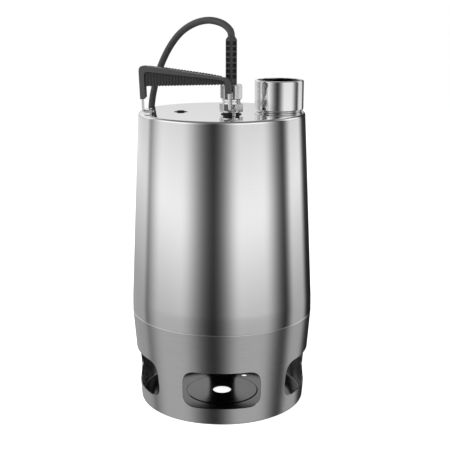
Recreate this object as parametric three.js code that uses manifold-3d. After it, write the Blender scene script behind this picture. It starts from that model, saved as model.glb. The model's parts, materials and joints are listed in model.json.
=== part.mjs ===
// A stainless submersible drainage pump with a top outlet, as an assembly of separate pieces.
// Millimetres, +Z up. The origin is on the pump's axis, on the surface that the pump stands on.
import * as THREE from 'three';
import { mergeVertices } from 'three/addons/utils/BufferGeometryUtils.js';
import Module from 'manifold-3d';

const wasm = await Module();
wasm.setup();

// ---- Driving dimensions ----
const GAP = 0.3; // clearance between pieces that touch
const SHEET = 1.5; // wall of the drawn stainless shells
const ROUND = 40; // facets of the outer shells
const MOTOR = 24; // facets of the motor's large pieces
const SMALL = 16; // facets of a small turned piece

const BASE_RADIUS = 98.6; // strainer, at the floor
const STRAINER_FLARE = 0.08; // its radius grows by this much per millimetre of height
const JOINT_Z = 111.1; // middle of the joint between strainer and sleeve
const SLEEVE_RADIUS = 107.3;
const SLEEVE_STRAIGHT_TOP = 125; // the sleeve tapers above this height
const COVER_TOP = 347.2;
const COVER_RADIUS = 96.5; // sleeve radius just under the rounded cover edge
const COVER_EDGE = 4; // radius of its rounded edge
const HOLE_MARGIN = 10; // how far a cutter stands out above and below the cover

const WINDOWS = { count: 5, halfAngle: 26, low: 20.2, high: 64.7, corner: 13 };
const BASE = { sheet: 1.2, disc: 42.1, raised: 0.6, hole: 11.2, drain: { x: 28.4, y: 46.6, radius: 3.6 } };
const EYE_RADIUS = 30; // suction eye, wide enough for the solids that the windows let in

const OUTLET = { x: 66.1, y: 0, radius: 28.2, bore: 20.5, thread: 23, top: 383.4 };
const GLAND = {
  x: 10.7, y: -29.4, turn: -9.5, hole: 8.4, gasket: 11.8, flange: 13.2, hex: 13.5, neck: 10.7, nut: 12.6,
  shankLow: 337, flangeZ: 350.2, hexZ: 352, neckZ: 359.5, nutZ: 364.8, top: 381, // its levels, from below
};
const VENT = { x: -47.3, y: -5.8, radius: 5.5, flange: 7.9, low: 340, socket: 343 };
const BOOT = { low: GLAND.top + GAP, top: 433, radius: 6.25, rib: 6.8, groove: 1.1, shoulder: 5 };

const CAN_RADIUS = 62; // motor's stator housing
const CAN_INNER = CAN_RADIUS - SHEET;
const CAN_LOW = 125.4;
const CAN_HIGH = 322;
const SHAFT_RADIUS = 8.5;
const SEAT_RADIUS = 7; // shaft, where it carries the impeller
const THREAD_RADIUS = 5; // shaft's lower end
const STACK = { low: 170, high: 240, bore: 38.5, slots: 12, slotDeep: 14, slotWide: 5 }; // stator laminations
const BEARING = { height: 12, inner: 8.8, innerTop: 12, outerLow: 16.3, outer: 20, pitch: 14.15, ball: 2.7 };
const BALLS = 7;
const LOWER_BEARING_Z = 148.4; // mid-height of each bearing
const UPPER_BEARING_Z = 277;

const CABLE_RADIUS = 4;
const COIL = { x: 8, y: 206, inner: 52, outer: 92.5, height: 33, turnRadius: 88 };

const FINISH = {
  polished: { color: 0xd4d6d8, roughness: 0.15, metalness: 1 },
  satin: { color: 0xb0b2b2, roughness: 0.4, metalness: 1 },
  steel: { color: 0x9a9c9e, roughness: 0.45, metalness: 1 },
  aluminium: { color: 0xb8bbbd, roughness: 0.5, metalness: 0.9 },
  brass: { color: 0xc8a45a, roughness: 0.35, metalness: 1 },
  copper: { color: 0xb5683a, roughness: 0.5, metalness: 0.8 },
  rubber: { color: 0x1e1f20, roughness: 0.8, metalness: 0 },
  grip: { color: 0x3c3d3f, roughness: 0.7, metalness: 0 },
  plastic: { color: 0x2b2c2e, roughness: 0.6, metalness: 0 },
  ceramic: { color: 0xe6e2d8, roughness: 0.4, metalness: 0 },
};

// ---- Solids ----
const degrees = THREE.MathUtils.degToRad;

function signedVolume(position, triangles) {
  const corner = (i) => new THREE.Vector3().fromBufferAttribute(position, i);
  let total = 0;
  for (let i = 0; i < triangles.length; i += 3) {
    const [a, b, c] = triangles.slice(i, i + 3).map(corner);
    total += a.dot(b.cross(c)) / 6;
  }
  return total;
}

// A closed three.js geometry as a solid that can be joined and cut.
function solid(source) {
  const bare = source.clone();
  bare.deleteAttribute('normal');
  bare.deleteAttribute('uv');
  const welded = mergeVertices(bare, 1e-4);
  const index = Array.from(welded.index.array);
  const triangles = [];
  for (let i = 0; i < index.length; i += 3) {
    const [a, b, c] = index.slice(i, i + 3);
    if (a !== b && b !== c && c !== a) triangles.push(a, b, c);
  }
  if (signedVolume(welded.attributes.position, triangles) < 0) triangles.reverse();
  return new wasm.Manifold(new wasm.Mesh({
    numProp: 3,
    vertProperties: new Float32Array(welded.attributes.position.array),
    triVerts: new Uint32Array(triangles),
  }));
}

// A closed profile of [radius, height] points turned about a vertical axis at (x, y).
function turned(profile, facets = ROUND, x = 0, y = 0) {
  const points = profile.map(([r, z]) => new THREE.Vector2(r, z));
  points.push(points[0].clone());
  const geometry = new THREE.LatheGeometry(points, facets);
  geometry.rotateX(Math.PI / 2);
  geometry.translate(x, y, 0);
  return solid(geometry);
}

function ring(inner, outer, low, high, facets = ROUND, x = 0, y = 0) {
  return turned([[inner, low], [outer, low], [outer, high], [inner, high]], facets, x, y);
}

function disc(radius, low, high, facets = ROUND, x = 0, y = 0) {
  return ring(0, radius, low, high, facets, x, y);
}

function box(width, depth, height, x, y, z) {
  const geometry = new THREE.BoxGeometry(width, depth, height);
  geometry.translate(x, y, z);
  return solid(geometry);
}

// A vertical hexagonal bar, with one flat facing -Y before it is turned.
function hexagon(radius, low, high, x, y, turn = 0) {
  const geometry = new THREE.CylinderGeometry(radius, radius, high - low, 6);
  geometry.rotateX(Math.PI / 2);
  geometry.rotateZ(degrees(30 + turn));
  geometry.translate(x, y, (low + high) / 2);
  return solid(geometry);
}

// Points on a circular arc in a profile, from one angle to another in degrees.
function arc(r, z, radius, from, to, steps) {
  return Array.from({ length: steps + 1 }, (_, i) => {
    const angle = degrees(from + ((to - from) * i) / steps);
    return [r + radius * Math.cos(angle), z + radius * Math.sin(angle)];
  });
}

// A round bar along a curve.
function bar(curve, radius, sides, steps) {
  const section = new THREE.Shape();
  for (let i = 0; i < sides; i += 1) {
    const angle = (2 * Math.PI * i) / sides;
    const place = i === 0 ? 'moveTo' : 'lineTo';
    section[place](radius * Math.cos(angle), radius * Math.sin(angle));
  }
  return solid(new THREE.ExtrudeGeometry(section, { steps, extrudePath: curve, bevelEnabled: false }));
}

function joined(bodies) {
  return bodies.reduce((whole, body) => whole.add(body));
}

const pump = new THREE.Group();

function add(name, body, finish) {
  const { vertProperties, triVerts } = body.getMesh();
  const geometry = new THREE.BufferGeometry();
  geometry.setAttribute('position', new THREE.BufferAttribute(vertProperties, 3));
  geometry.setIndex(new THREE.BufferAttribute(triVerts, 1));
  geometry.computeVertexNormals();
  const mesh = new THREE.Mesh(geometry, new THREE.MeshStandardMaterial(FINISH[finish]));
  mesh.name = name;
  pump.add(mesh);
}

// ---- Outer shells ----
function pumpSleeve() {
  const low = JOINT_Z + GAP;
  const edgeZ = COVER_TOP - COVER_EDGE - 1.2; // where the taper meets the rounded edge
  const edge = arc(COVER_RADIUS - COVER_EDGE, COVER_TOP - COVER_EDGE, COVER_EDGE, 0, 90, 2);
  const inside = arc(COVER_RADIUS - COVER_EDGE, COVER_TOP - COVER_EDGE, COVER_EDGE - SHEET, 90, 0, 1);
  const shell = turned([
    [SLEEVE_RADIUS, low],
    [SLEEVE_RADIUS, SLEEVE_STRAIGHT_TOP],
    [COVER_RADIUS, edgeZ],
    ...edge,
    [0, COVER_TOP],
    [0, COVER_TOP - SHEET],
    ...inside,
    [COVER_RADIUS - SHEET, edgeZ],
    [SLEEVE_RADIUS - SHEET, SLEEVE_STRAIGHT_TOP],
    [SLEEVE_RADIUS - SHEET, low],
  ]);
  const under = COVER_TOP - HOLE_MARGIN;
  const over = COVER_TOP + HOLE_MARGIN;
  return shell
    .subtract(disc(OUTLET.bore + 3.5, under, over, MOTOR, OUTLET.x, OUTLET.y))
    .subtract(disc(GLAND.hole, under, over, SMALL, GLAND.x, GLAND.y))
    .subtract(disc(VENT.radius, under, over, SMALL, VENT.x, VENT.y));
}

function strainerWindow(index) {
  const middle = (WINDOWS.low + WINDOWS.high) / 2;
  const wallRadius = BASE_RADIUS + STRAINER_FLARE * middle;
  const halfWidth = wallRadius * Math.sin(degrees(WINDOWS.halfAngle));
  const halfHeight = (WINDOWS.high - WINDOWS.low) / 2;
  const { corner } = WINDOWS;
  const outline = new THREE.Shape();
  outline.absarc(halfWidth - corner, halfHeight - corner, corner, 0, Math.PI / 2);
  outline.absarc(corner - halfWidth, halfHeight - corner, corner, Math.PI / 2, Math.PI);
  outline.absarc(corner - halfWidth, corner - halfHeight, corner, Math.PI, 1.5 * Math.PI);
  outline.absarc(halfWidth - corner, corner - halfHeight, corner, 1.5 * Math.PI, 2 * Math.PI);
  const geometry = new THREE.ExtrudeGeometry(outline, { depth: 50, bevelEnabled: false, curveSegments: 2 });
  geometry.rotateX(Math.PI / 2);
  geometry.translate(0, -70, middle);
  geometry.rotateZ((2 * Math.PI * index) / WINDOWS.count);
  return solid(geometry);
}

function inletStrainer() {
  const top = JOINT_Z - GAP;
  const wall = (z) => BASE_RADIUS + STRAINER_FLARE * z;
  const { sheet, disc: discRadius, raised, hole, drain } = BASE;
  let body = turned([
    [hole, raised],
    [discRadius, raised],
    [discRadius + 1, 0],
    [wall(0) - 2, 0],
    [wall(2), 2],
    [wall(top), top],
    [wall(top) - SHEET, top],
    [wall(3) - SHEET, 3],
    [wall(0) - 3, sheet],
    [discRadius + 2, sheet],
    [discRadius + 1, raised + sheet],
    [hole, raised + sheet],
  ]);
  for (let i = 0; i < WINDOWS.count; i += 1) body = body.subtract(strainerWindow(i));
  return body.subtract(disc(drain.radius, -1, 6, 12, drain.x, drain.y));
}

function dischargeSocket() {
  const { radius, bore, thread, top, x, y } = OUTLET;
  const seat = COVER_TOP + GAP;
  return turned([
    [bore, COVER_TOP - 4],
    [bore + 3, COVER_TOP - 4],
    [bore + 3, seat],
    [radius - 2, seat],
    [radius - 2, seat + 0.9],
    [radius - 0.6, seat + 1.7],
    [radius, seat + 3.2],
    [radius, top - 1],
    [radius - 1, top],
    [thread + 1.5, top],
    [thread, top - 1.5],
    [thread, COVER_TOP + 10],
    [bore, COVER_TOP + 8],
  ], MOTOR, x, y);
}

// ---- Hydraulic end ----
const HOUSING = { low: 67, plate: 3, wall: 97, neck: 104.6, neckInner: 99.5, shoulder: 100, top: 126 };
const O_RING = { pitch: 103.9, section: 1.5, z: 118 };

function pumpHousing() {
  const { low, plate, wall, neck, neckInner, shoulder, top } = HOUSING;
  const groove = O_RING.section + GAP;
  return turned([
    [EYE_RADIUS, low],
    [wall, low],
    [wall, shoulder],
    [neck, shoulder + 3],
    [neck, O_RING.z - groove],
    [O_RING.pitch - groove, O_RING.z - groove],
    [O_RING.pitch - groove, O_RING.z + groove],
    [neck, O_RING.z + groove],
    [neck, top],
    [neckInner, top],
    [neckInner, shoulder + 5],
    [wall - 3, shoulder + 2],
    [wall - 3, low + plate],
    [EYE_RADIUS, low + plate],
  ]);
}

function oRing(pitch, section, z, facets) {
  return turned(arc(pitch, z, section, 0, 300, 5), facets);
}

const GUIDE = {
  low: 112, high: 125, hubInner: 60.5, hub: 65, rim: 96, vanes: 6, length: 33, thick: 2.5, lean: 20,
};

function guideVaneRing() {
  const { low, high, hubInner, hub, rim, length, thick, lean } = GUIDE;
  const middle = (low + high) / 2;
  const hubRing = ring(hubInner, hub, low, high, MOTOR);
  const rimRing = ring(rim, HOUSING.neckInner - GAP, low, high);
  const vanes = Array.from({ length: GUIDE.vanes }, (_, i) => {
    const geometry = new THREE.BoxGeometry(length, thick, high - low - 1);
    geometry.rotateX(degrees(lean));
    geometry.translate((hub + rim) / 2, 0, middle);
    geometry.rotateZ((2 * Math.PI * i) / GUIDE.vanes);
    return solid(geometry).intersect(ring(hub - 3, rim + 2, low, high));
  });
  return joined([hubRing, rimRing, ...vanes]);
}

const SEAL_COVER = { low: 119, high: 123, bore: 15, outer: 59.6 };
const SCREW = { circle: 54, radius: 2.5, head: 4.2, headHeight: 3.7, tip: 131, key: 2, count: 3 };
const OIL_SCREW = { x: -38, y: 0, radius: 4, head: 6, headHeight: 1.5, tip: 126, key: 2.4 };

function screwPlace(index) {
  const angle = degrees(30 + (360 * index) / SCREW.count);
  return [SCREW.circle * Math.cos(angle), SCREW.circle * Math.sin(angle)];
}

function screwHoles(low, high) {
  const holes = Array.from({ length: SCREW.count }, (_, i) =>
    disc(SCREW.radius + GAP, low, high, 12, ...screwPlace(i)));
  return joined(holes);
}

function sealCover() {
  const { low, high, bore, outer } = SEAL_COVER;
  const { x, y, radius } = OIL_SCREW;
  return ring(bore, outer, low, high, MOTOR)
    .subtract(screwHoles(low - 1, high + 1))
    .subtract(disc(radius + GAP, low - 1, high + 1, 12, x, y));
}

// A screw that stands head down under the seal cover, with a hexagonal socket in its head.
function coverScrew({ radius, head, headHeight, tip, key }, x, y) {
  const seat = SEAL_COVER.low - GAP;
  return disc(head, seat - headHeight, seat, 12, x, y)
    .add(disc(radius, seat - 0.7, tip, 12, x, y))
    .subtract(hexagon(key, seat - headHeight - 1, seat - headHeight + 2, x, y));
}

const IMPELLER = { hub: 11, low: 102, top: 118.2, disc: 48, discLow: 113.5, discTop: 116.5, vanes: 6 };
const VANE = { inner: 10, outer: 46, thick: 3, low: 104.7, high: 113.7 };
const KEY = { width: 3, depth: 2.9, low: 104, high: 114 };

function impeller() {
  const { hub, low, top, disc: discRadius, discLow, discTop, vanes: count } = IMPELLER;
  const hubRing = ring(SEAT_RADIUS + GAP, hub, low, top, SMALL);
  const plate = ring(hub - 1, discRadius, discLow, discTop, MOTOR);
  const vanes = Array.from({ length: count }, (_, i) => {
    const geometry = new THREE.BoxGeometry(VANE.outer - VANE.inner, VANE.thick, VANE.high - VANE.low);
    geometry.translate((VANE.outer + VANE.inner) / 2, 0, (VANE.high + VANE.low) / 2);
    geometry.rotateZ((2 * Math.PI * i) / count);
    return solid(geometry);
  });
  return joined([hubRing, plate, ...vanes]).subtract(keySpace());
}

const WASHER = { radius: 10, low: 100, high: 101.7 };
const NUT = { radius: 9.2, low: 93 };

function impellerNut() {
  const top = WASHER.low - GAP;
  return hexagon(NUT.radius, NUT.low, top, 0, 0)
    .subtract(disc(THREAD_RADIUS + GAP, NUT.low - 1, top + 1, SMALL));
}

function keyBlock(grow) {
  const { width, depth, low, high } = KEY;
  return box(depth + 2 * grow, width + 2 * grow, high - low + 2 * grow, SEAT_RADIUS, 0, (low + high) / 2);
}

function keySpace() {
  return keyBlock(GAP);
}

// ---- Motor ----
const PLUG_RADIUS = CAN_INNER - GAP - 0.1; // pieces that slide into the stator housing
const BRACKET = {
  low: 123.4, inner: 48, top: 146, lip: 4, floor: 138, web: 142, cup: 24.5, cupTop: 155.5, bore: 10,
};
const SHIELD = { low: 284, high: 288, cupLow: 269, cup: 24.5 };

function lowerBearingBracket() {
  const { low, inner, top, lip, floor, web, cup, cupTop, bore } = BRACKET;
  const seat = BEARING.outer + GAP;
  return turned([
    [inner, low], [PLUG_RADIUS, low], [PLUG_RADIUS, top], [PLUG_RADIUS - lip, top], [PLUG_RADIUS - lip, web],
    [cup, web], [cup, cupTop], [seat, cupTop], [seat, web], [bore, web], [bore, floor], [inner, floor],
  ], MOTOR).subtract(screwHoles(low - 1, SCREW.tip + 1));
}

function upperBearingShield() {
  const { low, high, cupLow, cup } = SHIELD;
  const seat = BEARING.outer + GAP;
  return turned([
    [0, low], [seat, low], [seat, cupLow], [cup, cupLow], [cup, low], [PLUG_RADIUS, low],
    [PLUG_RADIUS, high], [0, high],
  ], MOTOR);
}

function bearingOuter(z) {
  const half = BEARING.height / 2;
  const { outerLow, outer, pitch, ball } = BEARING;
  const track = ball + GAP;
  const side = THREE.MathUtils.radToDeg(Math.acos((outerLow - pitch) / track));
  return turned([
    [outer, z - half], [outer, z + half], [outerLow, z + half], ...arc(pitch, z, track, side, -side, 2),
    [outerLow, z - half],
  ], SMALL);
}

function bearingInner(z) {
  const half = BEARING.height / 2;
  const { inner, innerTop, pitch, ball } = BEARING;
  const track = ball + GAP;
  const side = THREE.MathUtils.radToDeg(Math.acos((pitch - innerTop) / track));
  return turned([
    [inner, z - half], [innerTop, z - half], ...arc(pitch, z, track, 180 + side, 180 - side, 2),
    [innerTop, z + half], [inner, z + half],
  ], SMALL);
}

function ballCage(z) {
  const { pitch, ball } = BEARING;
  const cage = ring(pitch - 0.8, pitch + 0.8, z - 1.3, z + 1.3, 2 * BALLS);
  const balls = Array.from({ length: BALLS }, (_, i) => {
    const geometry = new THREE.SphereGeometry(ball - 0.1, 6, 4);
    geometry.rotateX(Math.PI / 2);
    geometry.translate(pitch, 0, z);
    geometry.rotateZ((2 * Math.PI * i) / BALLS);
    return solid(geometry);
  });
  return joined([cage, ...balls]);
}

function statorCore() {
  const { bore, low, high, slots: count, slotDeep, slotWide } = STACK;
  const body = ring(bore, PLUG_RADIUS, low, high, MOTOR);
  const slots = Array.from({ length: count }, (_, i) => {
    const geometry = new THREE.BoxGeometry(slotDeep, slotWide, high - low + 2);
    geometry.translate(bore + slotDeep / 2 - 1, 0, (low + high) / 2);
    geometry.rotateZ((2 * Math.PI * i) / count);
    return solid(geometry);
  });
  return body.subtract(joined(slots));
}

const WINDING = { inner: 42, outer: 56, corner: 3, low: 150, high: 262 };

function windingHead(low, high) {
  const { inner, outer, corner } = WINDING;
  return turned([
    ...arc(outer - corner, low + corner, corner, -90, 0, 1),
    ...arc(outer - corner, high - corner, corner, 0, 90, 1),
    ...arc(inner + corner, high - corner, corner, 90, 180, 1),
    ...arc(inner + corner, low + corner, corner, 180, 270, 1),
  ], MOTOR);
}

const ROTOR = { radius: 37.9, endInner: 24, endOuter: 35, end: 5 }; // with a shorting ring at each end

function rotorCore() {
  const { low, high } = STACK;
  const { radius, endInner, endOuter, end } = ROTOR;
  const bore = SHAFT_RADIUS + GAP;
  return turned([
    [bore, low], [endInner, low], [endInner, low - end], [endOuter, low - end], [endOuter, low],
    [radius, low], [radius, high], [endOuter, high], [endOuter, high + end], [endInner, high + end],
    [endInner, high], [bore, high],
  ], MOTOR);
}

const SHAFT = { low: 91, seat: 101.8, shoulder: 119, top: 283.5 }; // thread, impeller seat, full radius

function shaft() {
  const { low, seat, shoulder, top } = SHAFT;
  return turned([
    [0, low], [THREAD_RADIUS, low], [THREAD_RADIUS, seat], [SEAT_RADIUS, seat],
    [SEAT_RADIUS, shoulder], [SHAFT_RADIUS, shoulder], [SHAFT_RADIUS, top], [0, top],
  ], SMALL).subtract(keySpace());
}

// Shaft seal, from below: a fixed ceramic ring, a ring that turns with the shaft, and the spring behind it.
const SEAL = { fixedLow: 119.3, fixedTop: 123.3, turningLow: 123.7, turningTop: 128.2 };
const SPRING = { radius: 11, wire: 0.8, low: 129.8, height: 6, turns: 3 };

function sealSpring() {
  const { radius, wire, low, height, turns } = SPRING;
  class Helix extends THREE.Curve {
    getPoint(t, target = new THREE.Vector3()) {
      const angle = 2 * Math.PI * turns * t;
      return target.set(radius * Math.cos(angle), radius * Math.sin(angle), low + height * t);
    }
  }
  return bar(new Helix(), wire, 6, 8 * turns);
}

const TOP_COVER = {
  top: 326, rim: 1.5, plugLow: 315, plugInner: 54, groove: 58.1, grooveTop: 320.6, entry: 9,
};
const MOTOR_O_RING = { pitch: 59.3, section: 1, z: 319.1 };

function motorTopCover() {
  const { top, rim, plugLow, plugInner, groove, grooveTop, entry } = TOP_COVER;
  const seat = CAN_HIGH + GAP;
  const grooveLow = 2 * MOTOR_O_RING.z - grooveTop;
  return turned([
    [0, seat], [0, top], [CAN_RADIUS + rim, top], [CAN_RADIUS + rim, seat], [PLUG_RADIUS, seat],
    [PLUG_RADIUS, grooveTop], [groove, grooveTop], [groove, grooveLow], [PLUG_RADIUS, grooveLow],
    [PLUG_RADIUS, plugLow], [plugInner, plugLow], [plugInner, seat],
  ], MOTOR).subtract(disc(entry, plugLow - 1, top + 2, SMALL, GLAND.x, GLAND.y));
}

const CAPACITOR = { radius: 14, length: 66, y: 20, z: 303 };

function capacitor() {
  const { radius, length, y, z } = CAPACITOR;
  const geometry = new THREE.CylinderGeometry(radius, radius, length, 20);
  geometry.rotateZ(Math.PI / 2);
  geometry.translate(0, y, z);
  return solid(geometry);
}

// ---- Cover fittings ----
function cableEntryTube() {
  const { top, entry } = TOP_COVER;
  return ring(entry, entry + 2, top + GAP, COVER_TOP - SHEET - GAP, SMALL, GLAND.x, GLAND.y);
}

function glandGasket() {
  const { hole, gasket, flangeZ, x, y } = GLAND;
  const low = COVER_TOP + GAP;
  return turned([
    [hole, low], [gasket, low], [gasket, low + 0.5], [hole + 0.9, low + 0.8],
    [hole + 0.9, flangeZ - GAP], [hole, flangeZ - GAP],
  ], SMALL, x, y);
}

function glandBody() {
  const { hole, flange, hex, neck, shankLow, flangeZ, hexZ, neckZ, nutZ, turn, x, y } = GLAND;
  return hexagon(hex, hexZ, neckZ, x, y, turn)
    .add(disc(flange, flangeZ, hexZ + 0.4, SMALL, x, y))
    .add(disc(neck, neckZ - 0.5, nutZ - GAP, SMALL, x, y))
    .add(disc(hole - GAP - 0.1, shankLow, flangeZ + 0.5, SMALL, x, y));
}

function glandNut() {
  const { nut, nutZ, top, turn, x, y } = GLAND;
  const chamfer = turned([
    [0, nutZ - 2], [nut + 0.4, nutZ - 2], [nut + 0.4, top - 2.4], [nut - 2, top], [0, top],
  ], SMALL, x, y);
  return hexagon(nut, nutZ, top, x, y, turn).intersect(chamfer);
}

function cableBoot() {
  const { low, top, radius, rib, groove, shoulder } = BOOT;
  const profile = [[0, low], [radius, low]];
  for (let z = low + rib; z < top - rib; z += rib) {
    profile.push([radius, z - 1.3], [radius - groove, z], [radius, z + 1.3]);
  }
  profile.push([radius, top - shoulder], [CABLE_RADIUS + 0.6, top], [0, top]);
  return turned(profile, 12, GLAND.x, GLAND.y);
}

function ventScrew() {
  const { x, y, radius, flange, low, socket } = VENT;
  const plug = disc(radius - GAP - 0.1, low, COVER_TOP + GAP + 0.1, SMALL, x, y);
  const washer = disc(flange, COVER_TOP + GAP, COVER_TOP + GAP + 0.5, SMALL, x, y);
  return plug.add(washer).subtract(hexagon(2.6, socket, COVER_TOP + 2, x, y));
}

// ---- Handle, drawn in the upright plane through both hinge eyes ----
const HINGE_LEFT = new THREE.Vector3(-81.2, -25.2, 350);
const HINGE_RIGHT = new THREE.Vector3(13.6, -49.4, 353.9);
const HINGE_SPAN = HINGE_LEFT.distanceTo(HINGE_RIGHT);
const WIRE_RADIUS = 1.5;
const BAIL_STEPS = 44; // the wire and its channel in the grip share them, so their facets match

const alongHinge = HINGE_RIGHT.clone().sub(HINGE_LEFT).normalize();
const backward = new THREE.Vector3(0, 0, 1).cross(alongHinge).normalize();
const upward = alongHinge.clone().cross(backward);
const handleFrame = new THREE.Matrix4()
  .makeBasis(alongHinge, backward, upward)
  .setPosition(HINGE_LEFT);

function inHandle(geometry) {
  geometry.applyMatrix4(handleFrame);
  return solid(geometry);
}

// The wire's centreline: foot, left leg, under the grip's top, right leg, foot.
function bailPath() {
  const corners = [
    [5.5, 0], [-8, 0], [-8, 40], [-2, 45.5], [86, 32], [93, 27], [93, 0], [HINGE_SPAN + 2.6, 0],
  ].map(([u, w]) => new THREE.Vector3(u, 0, w).applyMatrix4(handleFrame));
  const bends = [3.5, 4.3, 3.5, 4.5, 4, 3.5];
  const path = new THREE.CurvePath();
  let from = corners[0];
  bends.forEach((bend, i) => {
    const [before, corner, after] = corners.slice(i, i + 3);
    const enter = corner.clone().add(before.clone().sub(corner).setLength(bend));
    const leave = corner.clone().add(after.clone().sub(corner).setLength(bend));
    path.add(new THREE.LineCurve3(from, enter));
    path.add(new THREE.QuadraticBezierCurve3(enter, corner, leave));
    from = leave;
  });
  path.add(new THREE.LineCurve3(from, corners.at(-1)));
  return path;
}

const GRIP = { front: -3.5, back: 16, thinBack: 4.2, teeth: 26 };

function gripOutline() {
  const outline = new THREE.Shape();
  outline.moveTo(-10.6, 14.1);
  outline.lineTo(-5.6, 14.1);
  outline.lineTo(-5.6, 15.9);
  outline.lineTo(-3.9, 15.9);
  outline.lineTo(-3.7, 28.6);
  const teeth = { from: -2.6, to: 89.6, low: 28.2, high: 29.2 };
  const pitch = (teeth.to - teeth.from) / GRIP.teeth;
  for (let i = 0; i < GRIP.teeth; i += 1) {
    const u = teeth.from + pitch * i;
    outline.lineTo(u, teeth.high);
    outline.lineTo(u + 0.5 * pitch, teeth.low);
  }
  outline.lineTo(90.3, 28.6);
  outline.lineTo(90.3, 18.4);
  outline.lineTo(95.6, 18.4);
  outline.lineTo(95.6, 29);
  outline.quadraticCurveTo(95.4, 34, 90.2, 35.6);
  outline.lineTo(-2.6, 51.2);
  outline.quadraticCurveTo(-10.5, 51.2, -10.6, 43.4);
  return outline;
}

function handleGrip() {
  const { front, back, thinBack } = GRIP;
  const geometry = new THREE.ExtrudeGeometry(gripOutline(), {
    depth: back - front, bevelEnabled: false, curveSegments: 4,
  });
  geometry.rotateX(Math.PI / 2);
  geometry.translate(0, back, 0);
  const block = inHandle(geometry);
  const legCut = new THREE.BoxGeometry(140, 40, 30);
  legCut.translate(43, thinBack + 20, 12);
  const taper = new THREE.Shape();
  taper.moveTo(62, 30);
  taper.lineTo(62, back);
  taper.lineTo(78, thinBack);
  taper.lineTo(110, thinBack);
  taper.lineTo(110, 30);
  const taperCut = new THREE.ExtrudeGeometry(taper, { depth: 60, bevelEnabled: false });
  return block
    .subtract(inHandle(legCut))
    .subtract(inHandle(taperCut))
    .subtract(bar(bailPath(), WIRE_RADIUS + GAP + 0.3, 8, BAIL_STEPS));
}

const EYE = { radius: 3.4, hole: WIRE_RADIUS + GAP + 0.1, thickness: 2.4 };

// A welded lug on the cover that one foot of the wire turns in.
function hingeEye(u) {
  const { radius, hole: holeRadius, thickness } = EYE;
  const eye = new THREE.CylinderGeometry(radius, radius, thickness, 16);
  eye.rotateZ(Math.PI / 2);
  eye.translate(u, 0, 0);
  const stem = new THREE.BoxGeometry(thickness, 1.8 * radius, 12);
  stem.translate(u, 0, -6);
  const hole = new THREE.CylinderGeometry(holeRadius, holeRadius, 8, 12);
  hole.rotateZ(Math.PI / 2);
  hole.translate(u, 0, 0);
  const below = box(300, 300, 40, 0, 0, COVER_TOP + GAP - 20);
  return inHandle(eye).add(inHandle(stem)).subtract(inHandle(hole)).subtract(below);
}

// ---- Cable, coil and plug ----
const point = (x, y, z) => new THREE.Vector3(x, y, z);

function coilRing(grow = 0) {
  const { inner, outer, height, x, y } = COIL;
  const corner = 3;
  return turned([
    [inner - grow + corner, 0], [outer + grow - corner, 0], [outer + grow, corner],
    [outer + grow, height + grow - corner], [outer + grow - corner, height + grow],
    [inner - grow + corner, height + grow], [inner - grow, height + grow - corner], [inner - grow, corner],
  ], 28, x, y);
}

// The tie is a flat strap round the bundle, sunk into it so that it stays off the floor.
const TIE = { width: 12, proud: -0.1, depth: 1.4, space: 0.4 };

function tieLoop(outset, inset, width) {
  const { inner, outer, height, x, y } = COIL;
  const middle = y + (inner + outer) / 2;
  const deep = outer - inner;
  const whole = box(width, deep + 2 * outset, height + 2 * outset, x, middle, height / 2);
  const core = box(width + 2, deep - 2 * inset, height - 2 * inset, x, middle, height / 2);
  return whole.subtract(core);
}

function cableCoil() {
  return coilRing().subtract(tieLoop(4, TIE.depth + TIE.space, TIE.width + 2 * GAP));
}

function cableRun() {
  const route = new THREE.CatmullRomCurve3([
    point(GLAND.x, GLAND.y, BOOT.top - 2),
    point(GLAND.x, GLAND.y, BOOT.top + 2.5),
    point(9.5, -28.2, 439.6),
    point(3, -22, 445.9),
    point(-10, -9, 450),
    point(-20.1, 0.5, 449.6),
    point(-31.8, 11.8, 446),
    point(-45.2, 24.8, 437.7),
    point(-56.1, 35.4, 426.1),
    point(-65.8, 44.9, 411),
    point(-75, 53.9, 391.3),
    point(-82, 61.2, 368.7),
    point(-86, 65, 347),
    point(-88, 69, 300),
    point(-88, 73, 220),
    point(-87, 77, 130),
    point(-85, 81, 60),
    point(-83, 86, 34),
    point(-81, 99, 14),
    point(-80, 118, 5.5),
    point(-80, 140, 4.3),
    point(-80, 185, 4.3),
  ], false, 'centripetal');
  const boot = disc(12, BOOT.top - 20, BOOT.top + GAP, SMALL, GLAND.x, GLAND.y);
  return bar(route, CABLE_RADIUS, 8, 58).subtract(coilRing(GAP)).subtract(boot);
}

const PLUG = { head: 19, headFrom: 44, tail: 6, length: 58, pin: 2.4, pinLength: 19, pinSpread: 9.5 };
// The plug rests on its tail and its head's edge.
const plugTilt = Math.atan((PLUG.head - PLUG.tail) / PLUG.headFrom);
const plugRear = point(COIL.x + 6, COIL.y + 72, COIL.height + GAP + PLUG.tail * Math.cos(plugTilt));
const plugTurn = new THREE.Matrix4()
  .makeRotationY(Math.PI / 2 - plugTilt)
  .setPosition(plugRear);

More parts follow.
